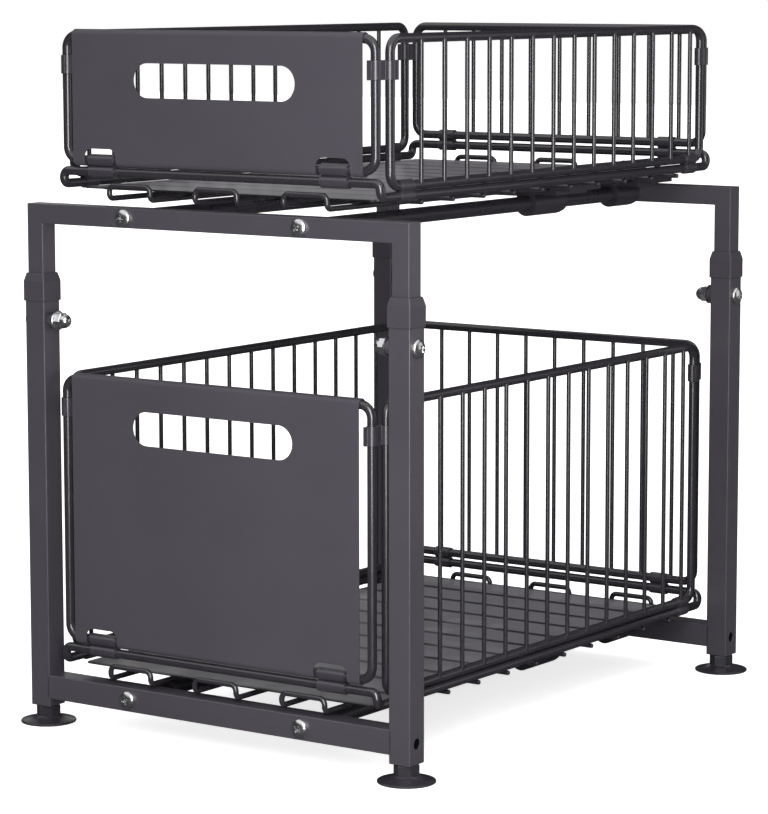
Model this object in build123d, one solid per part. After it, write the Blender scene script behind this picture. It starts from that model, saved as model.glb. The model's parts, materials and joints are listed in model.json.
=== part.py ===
"""Two-tier pull-out organizer for under a sink, all lengths in millimetres.

A square-tube stand carries two wire baskets. Each basket hangs on two rods by four
plastic sliders and pulls out to the front. The upper half of the stand telescopes
in the lower half. X runs to the right seen from the front, -Y to the front, and Z up
from the floor; the origin is the middle of the footprint.
"""

from build123d import *
from math import cos, pi, radians, sin, tan
import os

# Stand
stand_width = 307.2
stand_depth = 413.0
leg_size = 16.0
leg_wall = 1.2
leg_corner = 0.6
leg_bottom = 12.0
leg_top = 296.0
low_bar_height = 25.5
side_hole_radius = 3.5
side_hole_drop = 0.5

# Telescoping upper half
post_room = 0.3
post_wall = 1.2
post_corner = 0.5
post_end_margin = 9.0
post_showing = 51.1
raise_travel = 50.0
lower_travel = 26.0
height_bolt_drop = 25.7

# Collars on the leg tops
collar_wall = 0.8
collar_gap = 0.1
collar_skirt = 13.0
collar_taper = 5.4
collar_lip = 1.0

# Screws and nuts
bolt_radius = 3.0
bolt_head_radius = 6.0
bolt_head_height = 3.8
bolt_head_bevel = 1.6
bolt_gap = 0.3
rail_bolt_reach = 12.0
spacer_radius = 5.2
spacer_length = 4.5
nut_flange_radius = 6.6
nut_flange_length = 1.5
nut_flats = 10.0
nut_hex_length = 4.5
nut_dome_length = 5.0
nut_dome_top_share = 0.55
nut_thread_depth = 6.0

# Levelling feet
foot_radius = 18.5
foot_rim = 1.4
foot_height = 4.6
foot_top_radius = 8.0
foot_flats = 14.3
foot_turn = 25.0
foot_gap = 0.3
stud_radius = 4.0
stud_length = 22.0
plug_length = 16.0
plug_gap = 0.05
turning_gap = 0.06

# Rods that carry the baskets
rail_radius = 5.1
rail_spread_share = 5 / 9
rail_drop = 0.2

# Sliders on the rods
sliding_gap = 0.07
slider_radius = 8.7
slider_plate_width = 70.0
slider_plate_thick = 4.0
slider_step_width = 48.0
slider_step_thick = 3.0
slider_plate_gap = 0.6
slider_bevel = 5.0
front_slider_length = 40.0
front_slider_start = 51.5
rear_slider_length = 29.0
rear_stop_gap = 0.6

# Wires of the baskets
thick_radius = 3.0
thin_radius = 1.5
floor_radius = 1.6
hairpin_radius = 1.8
thick_sides = 8
thin_sides = 6
fastener_sides = 10
bore_sides = 12
disc_sides = 24
weld_gap = 0.15

# Basket floor
basket_lift = 20.1
upper_basket_shift = 2.5
lower_basket_shift = -2.0
basket_side_room = 11.6
basket_end_room = 6.5
ring_rise = 8.6
floor_margin = 42.5
floor_wire_count = 10
floor_wire_overhang = 2.0
hairpin_spacing = 33.5
hairpin_overhang = 1.5
hairpin_rise = 8.3
hairpin_top_bend = 4.0
hairpin_foot_bend = 3.5
liner_thick = 1.0
liner_side_gap = 7.0
liner_end_gap = 4.0
liner_gap = 0.05

# Basket walls
upper_basket_height = 96.3
lower_basket_headroom = 36.7
side_wall_inset = 10.0
side_wall_gap = 0.2
end_wall_inset = 3.7
end_wall_gap = 1.4
wall_bend = 8.5
wall_bend_chord_count = 2
floor_bend_chord_count = 1
side_wire_count = 14
side_front_margin = 17.7
side_rear_margin = 30.8
back_wire_count = 9
back_left_margin = 24.8
back_right_margin = 19.8

# Front plate
sheet = 0.8
sheet_gap = 0.1
plate_side_gap = 7.3
plate_lip = 2.0
handle_length = 128.0
handle_height = 22.0
handle_drop = 28.3
window_width = 26.0
window_inset = 22.5
window_rise = 7.5
window_bevel = 5.5

# Sheet clips
clip_width = 13.0
end_clip_shift = 1.5
clip_bend_gap = 0.5
clip_notch_gap = 0.2
corner_clip_height = 12.0
corner_clip_drop = 19.0
corner_clip_web = 1.6

# How far a cutting tool runs past the face that it cuts
overrun = 5.0

# Stand sizes and places that follow from the sizes above
leg_x = stand_width / 2 - leg_size / 2
leg_y = stand_depth / 2 - leg_size / 2
leg_inner_face = stand_width / 2 - leg_size
side_hole_height = low_bar_height - side_hole_drop
post_size = leg_size - 2 * (leg_wall + post_room)
stand_top = leg_top + post_showing
height_bolt_height = leg_top - height_bolt_drop
slot_bottom = height_bolt_height - raise_travel - bolt_radius - bolt_gap
slot_top = height_bolt_height + lower_travel + bolt_radius + bolt_gap
post_bottom = slot_bottom - post_end_margin
upper_bar_height = stand_top - post_size / 2
low_rail_height = low_bar_height
upper_rail_height = upper_bar_height - rail_drop
corners = [(x, y) for y in (-leg_y, leg_y) for x in (-leg_x, leg_x)]

# Basket sizes and places that follow from the stand and from each other
ring_x = leg_inner_face - basket_side_room
ring_y = stand_depth / 2 - basket_end_room
rail_x = ring_x * rail_spread_share
lower_basket_height = height_bolt_height - lower_basket_headroom - low_rail_height - basket_lift
side_wall_y = ring_y - side_wall_inset
side_wall_start = 2 * thick_radius + side_wall_gap
end_wall_x = ring_x - end_wall_inset
end_wall_start = ring_rise + 2 * thick_radius + end_wall_gap
floor_height = -(thick_radius + floor_radius + weld_gap)
floor_pitch = 2 * (ring_y - floor_margin) / (floor_wire_count - 1)
hairpin_height = floor_height - floor_radius - hairpin_radius - weld_gap
hairpin_y = ring_y + hairpin_overhang
side_pitch = (2 * side_wall_y - side_front_margin - side_rear_margin) / (side_wire_count - 1)
back_pitch = (2 * end_wall_x - back_left_margin - back_right_margin) / (back_wire_count - 1)
plate_width = 2 * (end_wall_x - plate_side_gap)
window_offset = plate_width / 2 - window_inset
window_top = end_wall_start + window_rise
strap_inner = thick_radius + sheet_gap
strap_outer = strap_inner + sheet
end_clip_offset = window_offset + end_clip_shift
side_clip_offset = side_wall_y - wall_bend - clip_width / 2 - clip_bend_gap


def save(part, name):
    """Writes one sub-part under its own name."""
    export_step(part, os.path.join("parts", name + ".step"))


def polygon_ring(centre, across, along, radius, sides):
    """Corners of a regular outline whose first flat faces the direction `across`."""
    step = 2 * pi / sides
    reach = radius / cos(step / 2)
    angles = [(k + 1 / 2) * step for k in range(sides)]
    return [centre + across * (reach * cos(a)) + along * (reach * sin(a)) for a in angles]


def flat_sketch(x, y, radius, sides):
    """Regular outline with flats that face the sketch's own axes."""
    return Pos(x, y) * RegularPolygon(radius, sides, major_radius=False, rotation=180 / sides)


def walled(sections, capped):
    """Solid whose sides are flat walls between each ring of corners and the next."""
    sides = len(sections[0])
    walls = []
    for near, far in zip(sections, sections[1:]):
        for k in range(sides):
            beside = (k + 1) % sides
            walls.append(Face(Wire.make_polygon([near[k], near[beside], far[beside], far[k]])))
    if capped:
        walls.append(Face(Wire.make_polygon(sections[0])))
        walls.append(Face(Wire.make_polygon(sections[-1])))
    return Solid(Shell(walls))


def bar(points, radius, sides, flat_towards):
    """Wire along straight runs, mitred where they meet.

    The section is carried along each run until it meets the plane that halves the
    turn, and a flat wall joins each pair of its corners. A route that ends where it
    began gives one unbroken ring.
    """
    run = (points[1] - points[0]).normalized()
    across = flat_towards.normalized()
    section = polygon_ring(points[0], across, run.cross(across), radius, sides)
    sections = [section]
    for index in range(1, len(points)):
        here = points[index]
        run = (here - points[index - 1]).normalized()
        mitre = run
        if index < len(points) - 1:
            mitre = run + (points[index + 1] - here).normalized()
        section = [corner + run * ((here - corner).dot(mitre) / run.dot(mitre)) for corner in section]
        sections.append(section)
    return walled(sections, capped=(points[0] - points[-1]).length > weld_gap)


def stacked(rows, sides):
    """Flat-sided turned shape round the Z axis, its rows given as (radius, height)."""
    x_axis = Vector(1, 0, 0)
    y_axis = Vector(0, 1, 0)
    rings = [polygon_ring(Vector(0, 0, height), x_axis, y_axis, radius, sides) for radius, height in rows]
    return walled(rings, capped=True)


def route(stops, chords):
    """Points of a route through stops, each given as (place, bend radius)."""
    points = [stops[0][0]]
    for before, stop, after in zip(stops, stops[1:], stops[2:]):
        place, radius = stop
        back = (before[0] - place).normalized()
        ahead = (after[0] - place).normalized()
        half_angle = radians(back.get_angle(ahead)) / 2
        turn = pi - 2 * half_angle
        middle = place + (back + ahead).normalized() * (radius / sin(half_angle))
        start = (place + back * (radius / tan(half_angle)) - middle).normalized()
        for step in range(chords + 1):
            angle = turn * step / chords
            point = middle + (start * cos(angle) - back * sin(angle)) * radius
            if (point - points[-1]).length > weld_gap:
                points.append(point)
    points.append(stops[-1][0])
    return points


def tube_outline(size, corner):
    """Outside of a square tube, its corners broken by short flats."""
    square = Rectangle(size, size)
    return chamfer(square.vertices(), corner)


def square_tube(length, size, wall, corner):
    """Square tube standing on the XY plane."""
    return extrude(tube_outline(size, corner) - Rectangle(size - 2 * wall, size - 2 * wall), length)


def facing_x(x, y, z, sense=1):
    """Plane at a place that faces +X, or -X for a sense of -1, its own X along Y."""
    return Plane(origin=(x, y, z), x_dir=(0, 1, 0), z_dir=(sense, 0, 0))


def facing_y(x, y, z, sense=1):
    """Plane at a place that faces +Y, or -Y for a sense of -1, its own X along X."""
    return Plane(origin=(x, y, z), x_dir=(1, 0, 0), z_dir=(0, sense, 0))


def rod_along_x(x, y, z, radius, length, sides):
    """Flat-sided rod from x on along +X, or along -X for a negative length."""
    return extrude(facing_x(x, y, z) * flat_sketch(0, 0, radius, sides), length)


def rod_along_y(x, y, z, radius, length, sides):
    """Flat-sided rod from y on along -Y, or along +Y for a negative length."""
    return extrude(facing_y(x, y, z, -1) * flat_sketch(0, 0, radius, sides), length)


def lower_end_frame(side):
    """Two legs and the bar between them, with its screw holes; side is -1 in front."""
    bar_length = 2 * (leg_inner_face + leg_wall)
    bar_start = facing_x(-bar_length / 2, side * leg_y, low_bar_height)
    frame = bar_start * square_tube(bar_length, leg_size, leg_wall, leg_corner)
    for x in (-leg_x, leg_x):
        leg = square_tube(leg_top - leg_bottom, leg_size, leg_wall, leg_corner)
        frame += Pos(x, side * leg_y, leg_bottom) * leg
    hollow = leg_size - 2 * leg_wall
    for x in (-leg_x, leg_x):
        frame -= Pos(x, side * leg_y, low_bar_height) * Box(hollow, hollow, leg_size + 2 * overrun)
        reach = leg_size if x > 0 else -leg_size
        frame -= rod_along_x(x, side * leg_y, side_hole_height, side_hole_radius, reach, fastener_sides)
        start = x - leg_size / 2 - overrun
        reach = leg_size + 2 * overrun
        clearance = bolt_radius + bolt_gap
        frame -= rod_along_x(start, side * leg_y, height_bolt_height, clearance, reach, thick_sides)
    for x in (-rail_x, rail_x):
        start = side * leg_y + leg_size / 2 + overrun
        reach = leg_size + 2 * overrun
        frame -= rod_along_y(x, start, low_bar_height, bolt_radius + bolt_gap, reach, thick_sides)
    return frame


def upper_end_frame(side):
    """Two posts under one bar, bent square, slotted where the height screws pass."""
    y = side * leg_y
    path = Polyline(
        (-leg_x, y, post_bottom),
        (-leg_x, y, upper_bar_height),
        (leg_x, y, upper_bar_height),
        (leg_x, y, post_bottom),
    )
    section_plane = Plane(origin=path @ 0, x_dir=(0, 1, 0), z_dir=(0, 0, 1))
    hollow = post_size - 2 * post_wall
    outline = section_plane * tube_outline(post_size, post_corner)
    outer = sweep(outline, path=path, transition=Transition.RIGHT)
    inner = sweep(section_plane * Rectangle(hollow, hollow), path=path, transition=Transition.RIGHT)
    frame = outer - inner
    slot_width = 2 * (bolt_radius + bolt_gap)
    for x in (-leg_x, leg_x):
        slot = Box(post_size + 2 * overrun, slot_width, slot_top - slot_bottom)
        frame -= Pos(x, y, (slot_bottom + slot_top) / 2) * slot
    for x in (-rail_x, rail_x):
        start = y + post_size / 2 + overrun
        reach = post_size + 2 * overrun
        frame -= rod_along_y(x, start, upper_rail_height, bolt_radius + bolt_gap, reach, thick_sides)
    return frame


def collar():
    """Plastic cap that steps from the leg down to the post and guides it."""
    skirt = leg_size + 2 * (collar_gap + collar_wall)
    neck = post_size + 2 * (collar_gap + collar_wall)
    skirt_bottom = leg_top - collar_skirt
    body = Pos(0, 0, skirt_bottom) * extrude(Rectangle(skirt, skirt), collar_skirt)
    taper_low = Pos(0, 0, leg_top) * Rectangle(skirt, skirt)
    taper_top = Pos(0, 0, leg_top + collar_taper) * Rectangle(neck, neck)
    leg_space = leg_size + 2 * collar_gap
    post_space = post_size + 2 * collar_gap
    skirt_cut = extrude(Rectangle(leg_space, leg_space), collar_skirt + overrun)
    neck_cut = extrude(Rectangle(post_space, post_space), collar_taper + overrun)
    cap = body + loft([taper_low, taper_top])
    return cap - Pos(0, 0, skirt_bottom - overrun) * skirt_cut - Pos(0, 0, leg_top) * neck_cut


def leg_plug():
    """Square plug in the foot of a leg, bored for the foot's stud."""
    side = leg_size - 2 * (leg_wall + plug_gap)
    bore = flat_sketch(0, 0, stud_radius + turning_gap, bore_sides)
    block = extrude(Rectangle(side, side) - bore, plug_length)
    return Pos(0, 0, leg_bottom) * block


def levelling_foot():
    """Cone-topped disc, hexagonal neck and stud, as one turning piece."""
    hex_top = leg_bottom - foot_gap
    rows = [(foot_radius, 0), (foot_radius, foot_rim), (foot_top_radius, foot_height)]
    disc = stacked(rows, disc_sides)
    neck = RegularPolygon(foot_flats / 2, 6, major_radius=False, rotation=foot_turn)
    neck = Pos(0, 0, foot_height) * extrude(neck, hex_top - foot_height)
    stud = Pos(0, 0, hex_top) * extrude(RegularPolygon(stud_radius, bore_sides), stud_length)
    return disc + neck + stud


def rail(y_front, y_rear):
    """Steel rod with a blind threaded hole in each end."""
    length = y_rear - y_front
    rod = facing_y(0, y_front, 0) * extrude(Circle(rail_radius), length)
    depth = rail_bolt_reach + bolt_gap
    for start, reach in ((y_front, -depth), (y_rear, depth)):
        rod -= rod_along_y(0, start, 0, bolt_radius, reach, thick_sides)
    return rod


def pan_head(plane):
    """Screw head that stands on a plane, bevelled at its outer edge."""
    straight = bolt_head_height - bolt_head_bevel
    top_radius = bolt_head_radius - bolt_head_bevel
    rows = [(bolt_head_radius, 0), (bolt_head_radius, straight), (top_radius, bolt_head_height)]
    return plane * stacked(rows, fastener_sides)


def rail_bolt(x, side, z, tube):
    """Screw through an end bar into the end of a rod."""
    plane = facing_y(x, side * (leg_y + tube / 2), z, side)
    shank = extrude(plane * flat_sketch(0, 0, bolt_radius, thick_sides), -(tube + rail_bolt_reach))
    return pan_head(plane) + shank


def height_bolt(outward, y):
    """Screw through a leg and the post inside it."""
    plane = facing_x(outward * stand_width / 2, y, height_bolt_height, outward)
    length = leg_size + spacer_length + nut_flange_length + nut_thread_depth
    shank = extrude(plane * flat_sketch(0, 0, bolt_radius, thick_sides), -length)
    return pan_head(plane) + shank


def height_spacer(outward, y):
    """Bush between the leg and the nut."""
    plane = facing_x(outward * leg_inner_face, y, height_bolt_height, -outward)
    bore = flat_sketch(0, 0, bolt_radius + bolt_gap, thick_sides)
    ring = flat_sketch(0, 0, spacer_radius, fastener_sides) - bore
    return extrude(plane * ring, spacer_length)


def height_nut(outward, y):
    """Flanged nut with a closed domed end."""
    start = outward * (leg_inner_face - spacer_length)
    plane = facing_x(start, y, height_bolt_height, -outward)
    flange = extrude(flat_sketch(0, 0, nut_flange_radius, fastener_sides), nut_flange_length)
    hexagon = RegularPolygon(nut_flats / 2, 6, major_radius=False)
    hex_end = nut_flange_length + nut_hex_length
    body = Pos(0, 0, nut_flange_length) * extrude(hexagon, nut_hex_length)
    dome_top = (nut_flats / 2 * nut_dome_top_share, hex_end + nut_dome_length)
    dome = stacked([(nut_flats / 2, hex_end), dome_top], fastener_sides)
    thread = extrude(flat_sketch(0, 0, bolt_radius, thick_sides), nut_flange_length + nut_thread_depth)
    return plane * (flange + body + dome - thread)


def base_ring():
    """Thick ring of a basket: its end rails stand higher than its side rails."""
    radius = ring_rise / 2
    end, side = ring_y, ring_x
    top = ring_rise
    stops = [
        (Vector(0, -end, top), 0),
        (Vector(side, -end, top), radius),
        (Vector(side, -end, 0), radius),
        (Vector(side, end, 0), radius),
        (Vector(side, end, top), radius),
        (Vector(-side, end, top), radius),
        (Vector(-side, end, 0), radius),
        (Vector(-side, -end, 0), radius),
        (Vector(-side, -end, top), radius),
        (Vector(0, -end, top), 0),
    ]
    return bar(route(stops, wall_bend_chord_count), thick_radius, thick_sides, Vector(0, 0, 1))


def floor_wires():
    """Cross wires welded under the side rails."""
    half = ring_x + floor_wire_overhang
    first = -floor_pitch * (floor_wire_count - 1) / 2
    wires = Part()
    for index in range(floor_wire_count):
        y = first + floor_pitch * index
        ends = [Vector(-half, y, floor_height), Vector(half, y, floor_height)]
        wires += bar(ends, floor_radius, thin_sides, Vector(0, 0, 1))
    return wires


def hairpin(x):
    """Closed long loop under the floor, bent up at both ends."""
    low = hairpin_height
    top = hairpin_height + hairpin_rise
    left = x - hairpin_spacing / 2
    right = x + hairpin_spacing / 2
    y = hairpin_y
    foot, head = hairpin_foot_bend, hairpin_top_bend
    stops = [
        (Vector(right, 0, low), 0),
        (Vector(right, y, low), foot),
        (Vector(right, y, top), head),
        (Vector(left, y, top), head),
        (Vector(left, y, low), foot),
        (Vector(left, -y, low), foot),
        (Vector(left, -y, top), head),
        (Vector(right, -y, top), head),
        (Vector(right, -y, low), foot),
        (Vector(right, 0, low), 0),
    ]
    return bar(route(stops, floor_bend_chord_count), hairpin_radius, thin_sides, Vector(0, 0, 1))


def liner():
    """Thin sheet that lies on the cross wires."""
    bottom = floor_height + floor_radius + liner_gap
    width = 2 * (ring_x - thick_radius - liner_side_gap)
    depth = 2 * (ring_y - thick_radius - liner_end_gap)
    return Pos(0, 0, bottom) * extrude(Rectangle(width, depth), liner_thick)


def wall_loop(width, bottom, top):
    """Closed upright loop with rounded corners, in the plane y = 0."""
    x = width / 2
    stops = [
        (Vector(0, 0, bottom), 0),
        (Vector(x, 0, bottom), wall_bend),
        (Vector(x, 0, top), wall_bend),
        (Vector(-x, 0, top), wall_bend),
        (Vector(-x, 0, bottom), wall_bend),
        (Vector(0, 0, bottom), 0),
    ]
    return bar(route(stops, wall_bend_chord_count), thick_radius, thick_sides, Vector(0, 0, 1))


def upright_wires(places, bottom, top, radius):
    """Upright wires flush with the outer face of a wall loop."""
    y = thick_radius - thin_radius
    wires = []
    for x in places:
        wires.append(bar([Vector(x, y, bottom), Vector(x, y, top)], radius, thin_sides, Vector(0, 1, 0)))
    return wires


side_places = [side_front_margin - side_wall_y + side_pitch * k for k in range(side_wire_count)]
back_places = [back_left_margin - end_wall_x + back_pitch * k for k in range(back_wire_count)]


def strap(low, top):
    """Sheet wrapped round two parallel wires, as an outline across them."""
    outer = [flat_sketch(0, height, strap_outer, thick_sides) for height in (low, top)]
    inner = [flat_sketch(0, height, strap_inner, thick_sides) for height in (low, top)]
    return make_hull(Sketch(outer).edges()) - make_hull(Sketch(inner).edges())


def base_clip(low, top):
    """Strap as a solid, centred on the plane x = 0, its wires along X."""
    return extrude(facing_x(-clip_width / 2, 0, 0) * strap(low, top), clip_width)


def front_plate(height):
    """Sheet hooked over the top and bottom wires of the front loop."""
    band = height - end_wall_start
    middle = (height + end_wall_start) / 2
    outline = Pos(-strap_inner - sheet / 2, middle) * Rectangle(sheet, band)
    for wire, outwards in ((height, 1), (end_wall_start, -1)):
        outer = flat_sketch(0, wire, strap_outer, thick_sides)
        inner = flat_sketch(0, wire, strap_inner, thick_sides)
        half = Pos(0, wire + outwards * strap_outer / 2) * Rectangle(2 * strap_outer, strap_outer)
        lip = Pos(strap_inner + sheet / 2, wire - outwards * plate_lip / 2) * Rectangle(sheet, plate_lip)
        outline += ((outer - inner) & half) + lip
    plate = extrude(facing_x(-plate_width / 2, 0, 0) * outline, plate_width)
    cut_depth = 2 * (strap_outer + overrun)
    front = facing_y(0, strap_outer + overrun, 0, -1)
    grip = Pos(0, height - handle_drop) * SlotOverall(handle_length, handle_height)
    plate -= extrude(front * grip, cut_depth)
    window_low = end_wall_start - strap_outer - overrun
    for x in (-window_offset, window_offset):
        window = Pos(x, 0) * Polygon(
            (-window_width / 2, window_low),
            (window_width / 2, window_low),
            (window_width / 2, window_top - window_bevel),
            (window_width / 2 - window_bevel, window_top),
            (window_bevel - window_width / 2, window_top),
            (-window_width / 2, window_top - window_bevel),
            align=None,
        )
        plate -= extrude(front * window, cut_depth)
    return plate


def corner_clip(side_x, side_y, end_x, end_y):
    """Figure-of-eight sheet round the upright ends of two neighbouring walls."""
    span = Vector(end_x - side_x, end_y - side_y)
    lean = span.get_signed_angle(Vector(1, 0), Vector(0, 0, -1))
    middle = Pos((side_x + end_x) / 2, (side_y + end_y) / 2)
    outline = middle * Rot(0, 0, lean) * Rectangle(span.length, corner_clip_web)
    for x, y in ((side_x, side_y), (end_x, end_y)):
        outline += flat_sketch(x, y, strap_outer, thick_sides)
    for x, y in ((side_x, side_y), (end_x, end_y)):
        outline -= flat_sketch(x, y, strap_inner, thick_sides)
    return extrude(outline, corner_clip_height)


def slider(length):
    """Sleeve round a rod, stepped up to a grooved plate that grips a hairpin."""
    plate_top = basket_lift + floor_height - floor_radius - slider_plate_gap
    plate_bottom = plate_top - slider_plate_thick
    step_bottom = plate_bottom - slider_step_thick
    hairpin_centre = basket_lift + hairpin_height
    groove = 2 * (hairpin_radius / cos(pi / thin_sides) + weld_gap)
    plate = Pos(0, (plate_top + plate_bottom) / 2) * Rectangle(slider_plate_width, slider_plate_thick)
    step = Pos(0, plate_bottom - slider_step_thick / 2) * Rectangle(slider_step_width, slider_step_thick)
    neck = Pos(0, step_bottom / 2) * Rectangle(slider_radius, step_bottom)
    profile = flat_sketch(0, 0, slider_radius, bore_sides) + plate + step + neck
    profile -= flat_sketch(0, 0, rail_radius + sliding_gap, bore_sides)
    for x in (-hairpin_spacing / 2, hairpin_spacing / 2):
        groove_depth = plate_top - hairpin_centre + hairpin_radius + weld_gap
        profile -= Pos(x, plate_top - groove_depth / 2) * Rectangle(groove, groove_depth)
    start = Plane(origin=(0, 0, 0), x_dir=(-1, 0, 0), z_dir=(0, 1, 0))
    body = extrude(start * profile, length)
    bevel = Plane.YZ * Polygon(
        (length - slider_bevel, -slider_radius),
        (length, -slider_radius),
        (length, slider_bevel - slider_radius),
        align=None,
    )
    return body - extrude(bevel, slider_radius, both=True)


def save_basket(prefix, place, height, rear_limit):
    """Writes every piece of one basket."""
    side_turns = {"left": 90, "right": -90}
    save(place * base_ring(), prefix + "_base_ring")
    save(place * floor_wires(), prefix + "_cross_wires")
    pins = Part() + [hairpin(x) for x in (-rail_x, 0, rail_x)]
    save(place * pins, prefix + "_floor_hairpins")
    save(place * liner(), prefix + "_liner")
    front = wall_loop(2 * end_wall_x, end_wall_start, height)
    save(place * Pos(0, -ring_y, 0) * front, prefix + "_front_loop")
    save(place * Pos(0, -ring_y, 0) * front_plate(height), prefix + "_front_plate")
    back = wall_loop(2 * end_wall_x, end_wall_start, height)
    back += upright_wires(back_places, end_wall_start, height, thin_radius)
    save(place * Pos(0, ring_y, 0) * back, prefix + "_back_wall")
    side = wall_loop(2 * side_wall_y, side_wall_start, height)
    side += upright_wires(side_places, side_wall_start, height, thin_radius)
    for name, turn in side_turns.items():
        outward = 1 if name == "right" else -1
        save(place * Pos(outward * ring_x, 0, 0) * Rot(0, 0, turn) * side, prefix + "_" + name + "_wall")
    notch = thin_radius + clip_notch_gap
    clips = Part()
    end_clip = base_clip(ring_rise, end_wall_start)
    back_notches = upright_wires(back_places, end_wall_start, end_wall_start + 2 * strap_outer, notch)
    for x in (-end_clip_offset, end_clip_offset):
        clips += Pos(x, -ring_y, 0) * end_clip
        clips += Pos(0, ring_y, 0) * (Pos(x, 0, 0) * end_clip - back_notches)
    side_clip = base_clip(0, side_wall_start)
    side_notches = upright_wires(side_places, side_wall_start, side_wall_start + 2 * strap_outer, notch)
    for name, turn in side_turns.items():
        outward = 1 if name == "right" else -1
        for local_x in (-side_clip_offset, side_clip_offset):
            clip = Pos(local_x, 0, 0) * side_clip - side_notches
            clips += Pos(outward * ring_x, 0, 0) * Rot(0, 0, turn) * clip
    save(place * clips, prefix + "_base_clips")
    corner_clips = Part()
    low = height - corner_clip_drop - corner_clip_height / 2
    for x in (-1, 1):
        for y in (-1, 1):
            clip = corner_clip(x * ring_x, y * side_wall_y, x * end_wall_x, y * ring_y)
            corner_clips += Pos(0, 0, low) * clip
    save(place * corner_clips, prefix + "_corner_clips")
    front_sliders = Part()
    rear_sliders = Part()
    rear_start = rear_limit - rear_stop_gap - rear_slider_length
    for x in (-rail_x, rail_x):
        front_sliders += Pos(x, front_slider_start, -basket_lift) * slider(front_slider_length)
        rear_sliders += Pos(x, rear_start, -basket_lift) * slider(rear_slider_length)
    save(place * front_sliders, prefix + "_front_sliders")
    save(place * rear_sliders, prefix + "_rear_sliders")


os.makedirs("parts", exist_ok=True)

# Stand
save(lower_end_frame(-1), "lower_front_frame")
save(lower_end_frame(1), "lower_rear_frame")
save(upper_end_frame(-1), "upper_front_frame")
save(upper_end_frame(1), "upper_rear_frame")
save(Part() + [Pos(x, y, 0) * collar() for x, y in corners], "leg_collars")
save(Part() + [Pos(x, y, 0) * leg_plug() for x, y in corners], "leg_plugs")
for x, y in corners:
    name = ("front" if y < 0 else "rear") + ("_left" if x < 0 else "_right")
    save(Pos(x, y, 0) * levelling_foot(), "foot_" + name)

# Height screws
save(Part() + [height_bolt(x / leg_x, y) for x, y in corners], "height_bolts")
save(Part() + [height_spacer(x / leg_x, y) for x, y in corners], "height_spacers")
save(Part() + [height_nut(x / leg_x, y) for x, y in corners], "height_nuts")

# Rods and their screws
low_reach = leg_y - leg_size / 2
upper_reach = leg_y - post_size / 2
for name, x in (("left", -rail_x), ("right", rail_x)):
    save(Pos(x, 0, low_rail_height) * rail(-low_reach, low_reach), "lower_rail_" + name)
    save(Pos(x, 0, upper_rail_height) * rail(-upper_reach, upper_reach), "upper_rail_" + name)
rail_ends = [(x, side) for side in (-1, 1) for x in (-rail_x, rail_x)]
lower_bolts = [rail_bolt(x, side, low_rail_height, leg_size) for x, side in rail_ends]
upper_bolts = [rail_bolt(x, side, upper_rail_height, post_size) for x, side in rail_ends]
save(Part() + lower_bolts, "lower_rail_bolts")
save(Part() + upper_bolts, "upper_rail_bolts")

# Baskets
lower_place = Pos(0, lower_basket_shift, low_rail_height + basket_lift)
upper_place = Pos(0, upper_basket_shift, upper_rail_height + basket_lift)
save_basket("lower", lower_place, lower_basket_height, low_reach - lower_basket_shift)
save_basket("upper", upper_place, upper_basket_height, upper_reach - upper_basket_shift)
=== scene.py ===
# %% [markdown]
# # An under sink organizer
#
# The real object is a stand of square steel tube on four levelling feet. It carries a deep
# and a shallow wire basket, and each basket slides to the front on two rods.
#
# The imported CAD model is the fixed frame: it says where every part is and how it moves.
# Its wires are flat-sided, so this lesson makes each one again with a round section, and
# gives every surface the finish that the photograph shows.

# %% The frame that everything is built round
import json
from math import acos, asin, cos, pi, radians, sin

import bpy
import numpy as np
from mathutils import Matrix


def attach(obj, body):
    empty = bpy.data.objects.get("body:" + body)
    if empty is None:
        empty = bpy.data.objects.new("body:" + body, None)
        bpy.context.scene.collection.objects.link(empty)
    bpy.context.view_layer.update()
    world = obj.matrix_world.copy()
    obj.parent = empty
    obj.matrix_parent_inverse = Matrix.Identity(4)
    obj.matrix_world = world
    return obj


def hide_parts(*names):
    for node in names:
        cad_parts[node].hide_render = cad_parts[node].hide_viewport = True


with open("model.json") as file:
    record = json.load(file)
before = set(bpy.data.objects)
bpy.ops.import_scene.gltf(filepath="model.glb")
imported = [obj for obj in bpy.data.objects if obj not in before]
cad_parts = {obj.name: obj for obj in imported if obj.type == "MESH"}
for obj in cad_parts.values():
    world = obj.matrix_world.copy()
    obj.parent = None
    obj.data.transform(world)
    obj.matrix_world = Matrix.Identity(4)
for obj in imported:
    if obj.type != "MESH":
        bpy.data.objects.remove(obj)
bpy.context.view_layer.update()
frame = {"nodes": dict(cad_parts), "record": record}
body_of = {}
for body, members in frame["record"]["behaviour"]["bodies"].items():
    body_of.update({member: body for member in members})
slot_of = {part["node"]: part["material_slot"] for part in frame["record"]["subparts"]}

# %% [markdown]
# ## Sizes
#
# The sizes are those of the CAD source, in millimetres. Blender works in metres, so the
# one function that makes a mesh multiplies by a thousandth at the end.

# %% Sizes of the stand
millimetre = 0.001

stand_width = 307.2
leg_size = 16.0
tube_wall = 1.2
leg_corner = 0.8
leg_bottom = 12.0
leg_top = 296.0
leg_x = stand_width / 2 - leg_size / 2
leg_y = 198.5
low_bar_height = 25.5
side_hole_radius = 3.5
side_hole_height = 25.0

post_size = 13.0
post_corner = 0.7
post_bottom = 208.0
stand_top = 347.1
upper_bar_height = stand_top - post_size / 2
slot_bottom = 217.0
slot_top = 299.6
slot_width = 6.6
height_bolt_height = 270.3

rail_x = 70.0
rail_radius = 5.1
low_rail_height = low_bar_height
upper_rail_height = upper_bar_height - 0.2

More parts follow.
